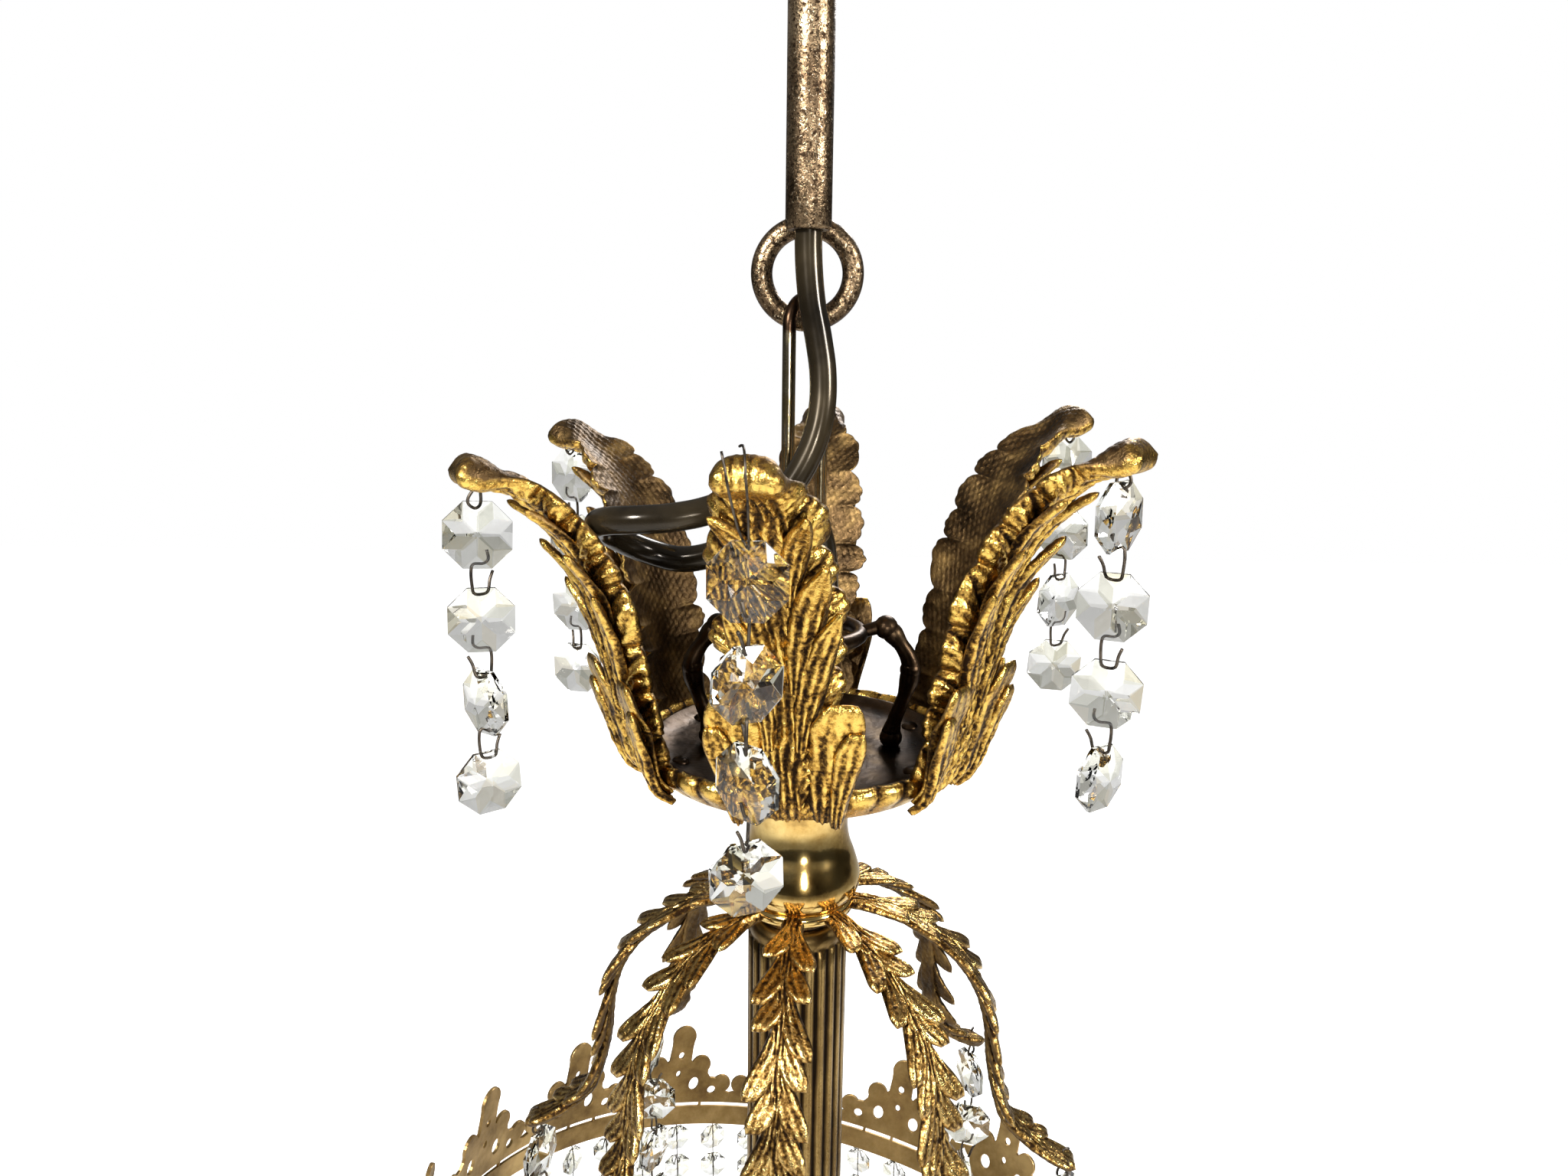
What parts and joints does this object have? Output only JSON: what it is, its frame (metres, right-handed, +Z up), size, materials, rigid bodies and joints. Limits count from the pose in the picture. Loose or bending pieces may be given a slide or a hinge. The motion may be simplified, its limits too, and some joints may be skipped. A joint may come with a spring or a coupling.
{
  "type": "crystal chandelier",
  "caption": "Small hanging chandelier with a crown of cast acanthus leaves, scrolled leaf arms, a pierced gallery ring, crystal strings and a bead basket.",
  "frame": {"origin": "on the ceiling, where the down rod's axis meets the ceiling bracket", "axes": "+Z up towards the ceiling, -Y the front of the object as pictured, +X the viewer's right"},
  "size_m": [0.2165, 0.2162, 0.645],
  "materials": {
    "gilt_brass": "cast brass, gilded, with dark antiqued recesses",
    "polished_brass": "polished and lacquered brass",
    "antique_brass": "antiqued, speckled brass tube",
    "reeded_brass": "dark reeded brass",
    "gallery_brass": "matt antiqued sheet brass",
    "bronze": "dark brown patina",
    "zinc_steel": "zinc plated",
    "crystal": "cut clear glass on dark wire hooks",
    "bulb_glass": "clear glass candle lamps with metal caps",
    "cream_plastic": "moulded thermoset",
    "white_plastic": "moulded nylon",
    "dark_flex": "glossy round flexible PVC lead"
  },
  "bodies": {
    "ceiling_fitting": {"ceiling_bracket": "zinc_steel", "canopy": "gilt_brass", "canopy_screws": "polished_brass", "canopy_collar": "gilt_brass", "rod_nut": "zinc_steel", "terminal_block": "white_plastic", "down_rod": "antique_brass", "rod_ring": "antique_brass", "cord": "dark_flex"},
    "link": {"wire_link": "polished_brass"},
    "chandelier": {"crown_hanger": "bronze", "crown_dish": "bronze", "crown_leaf_1": "gilt_brass", "crown_leaf_2": "gilt_brass", "crown_leaf_3": "gilt_brass", "crown_leaf_4": "gilt_brass", "crown_leaf_5": "gilt_brass", "crown_leaf_6": "gilt_brass", "leaf_screws": "bronze", "stem_tube": "antique_brass", "top_nut": "antique_brass", "neck": "polished_brass", "arm_hub": "gilt_brass", "arm_1": "gilt_brass", "arm_2": "gilt_brass", "arm_3": "gilt_brass", "arm_4": "gilt_brass", "arm_5": "gilt_brass", "arm_6": "gilt_brass", "arm_7": "gilt_brass", "arm_8": "gilt_brass", "hub_nut": "gilt_brass", "column": "reeded_brass", "gallery": "gallery_brass", "gallery_spider": "antique_brass", "lamp_cluster": "antique_brass", "lampholder_1": "cream_plastic", "lampholder_2": "cream_plastic", "lampholder_3": "cream_plastic", "bulb_1": "bulb_glass", "bulb_2": "bulb_glass", "bulb_3": "bulb_glass", "bead_basket": "crystal", "bottom_plate": "gilt_brass", "finial": "polished_brass"},
    "crown_string_1": {"crown_strand_1": "crystal"},
    "crown_string_2": {"crown_strand_2": "crystal"},
    "crown_string_3": {"crown_strand_3": "crystal"},
    "crown_string_4": {"crown_strand_4": "crystal"},
    "crown_string_5": {"crown_strand_5": "crystal"},
    "crown_string_6": {"crown_strand_6": "crystal"},
    "arm_string_1": {"arm_strand_1": "crystal"},
    "arm_string_2": {"arm_strand_2": "crystal"},
    "arm_string_3": {"arm_strand_3": "crystal"},
    "arm_string_4": {"arm_strand_4": "crystal"},
    "arm_string_5": {"arm_strand_5": "crystal"},
    "arm_string_6": {"arm_strand_6": "crystal"},
    "arm_string_7": {"arm_strand_7": "crystal"},
    "arm_string_8": {"arm_strand_8": "crystal"}
  },
  "joints": [
    {"name": "link_swing", "type": "hinge", "parent": "ceiling_fitting", "child": "link", "pos_m": [0, 0.0072, -0.1358], "axis": [1, 0, 0], "range_deg": [-10, 10], "deforming": ["cord"]},
    {"name": "chandelier_swing", "type": "hinge", "parent": "link", "child": "chandelier", "pos_m": [0, 0.0072, -0.208], "axis": [0, 1, 0], "range_deg": [-8, 8], "deforming": ["cord"]},
    {"name": "crown_string_1_swing", "type": "hinge", "parent": "chandelier", "child": "crown_string_1", "pos_m": [-0.01012, -0.06782, -0.15993], "axis": [-0.9966, 0.0819, 0], "range_deg": [-6, 12]},
    {"name": "crown_string_2_swing", "type": "hinge", "parent": "chandelier", "child": "crown_string_2", "pos_m": [0.061, -0.03504, -0.15969], "axis": [-0.5693, -0.8221, 0], "range_deg": [-6, 12]},
    {"name": "crown_string_3_swing", "type": "hinge", "parent": "chandelier", "child": "crown_string_3", "pos_m": [0.06835, 0.03951, -0.15711], "axis": [0.4274, -0.9041, 0], "range_deg": [-6, 12]},
    {"name": "crown_string_4_swing", "type": "hinge", "parent": "chandelier", "child": "crown_string_4", "pos_m": [0.00619, 0.08255, -0.15993], "axis": [0.9966, -0.0819, 0], "range_deg": [-6, 12]},
    {"name": "crown_string_5_swing", "type": "hinge", "parent": "chandelier", "child": "crown_string_5", "pos_m": [-0.06215, 0.05024, -0.16275], "axis": [0.5693, 0.8221, 0], "range_deg": [-6, 12]},
    {"name": "crown_string_6_swing", "type": "hinge", "parent": "chandelier", "child": "crown_string_6", "pos_m": [-0.06745, -0.02468, -0.165], "axis": [-0.4274, 0.9041, 0], "range_deg": [-6, 12]},
    {"name": "arm_string_1_swing", "type": "hinge", "parent": "chandelier", "child": "arm_string_1", "pos_m": [-0.00667, -0.06208, -0.34397], "axis": [-0.9954, 0.0958, 0], "range_deg": [-8, 10]},
    {"name": "arm_string_2_swing", "type": "hinge", "parent": "chandelier", "child": "arm_string_2", "pos_m": [0.04427, -0.0465, -0.34397], "axis": [-0.7716, -0.6361, 0], "range_deg": [-8, 10]},
    {"name": "arm_string_3_swing", "type": "hinge", "parent": "chandelier", "child": "arm_string_3", "pos_m": [0.06928, 0.00053, -0.34397], "axis": [-0.0958, -0.9954, 0], "range_deg": [-8, 10]},
    {"name": "arm_string_4_swing", "type": "hinge", "parent": "chandelier", "child": "arm_string_4", "pos_m": [0.05371, 0.05147, -0.34397], "axis": [0.6361, -0.7716, 0], "range_deg": [-8, 10]},
    {"name": "arm_string_5_swing", "type": "hinge", "parent": "chandelier", "child": "arm_string_5", "pos_m": [0.00667, 0.07648, -0.34397], "axis": [0.9954, -0.0958, 0], "range_deg": [-8, 10]},
    {"name": "arm_string_6_swing", "type": "hinge", "parent": "chandelier", "child": "arm_string_6", "pos_m": [-0.04427, 0.06091, -0.34397], "axis": [0.7716, 0.6361, 0], "range_deg": [-8, 10]},
    {"name": "arm_string_7_swing", "type": "hinge", "parent": "chandelier", "child": "arm_string_7", "pos_m": [-0.06928, 0.01387, -0.34397], "axis": [0.0958, 0.9954, 0], "range_deg": [-8, 10]},
    {"name": "arm_string_8_swing", "type": "hinge", "parent": "chandelier", "child": "arm_string_8", "pos_m": [-0.05371, -0.03707, -0.34397], "axis": [-0.6361, 0.7716, 0], "range_deg": [-8, 10]}
  ]
}
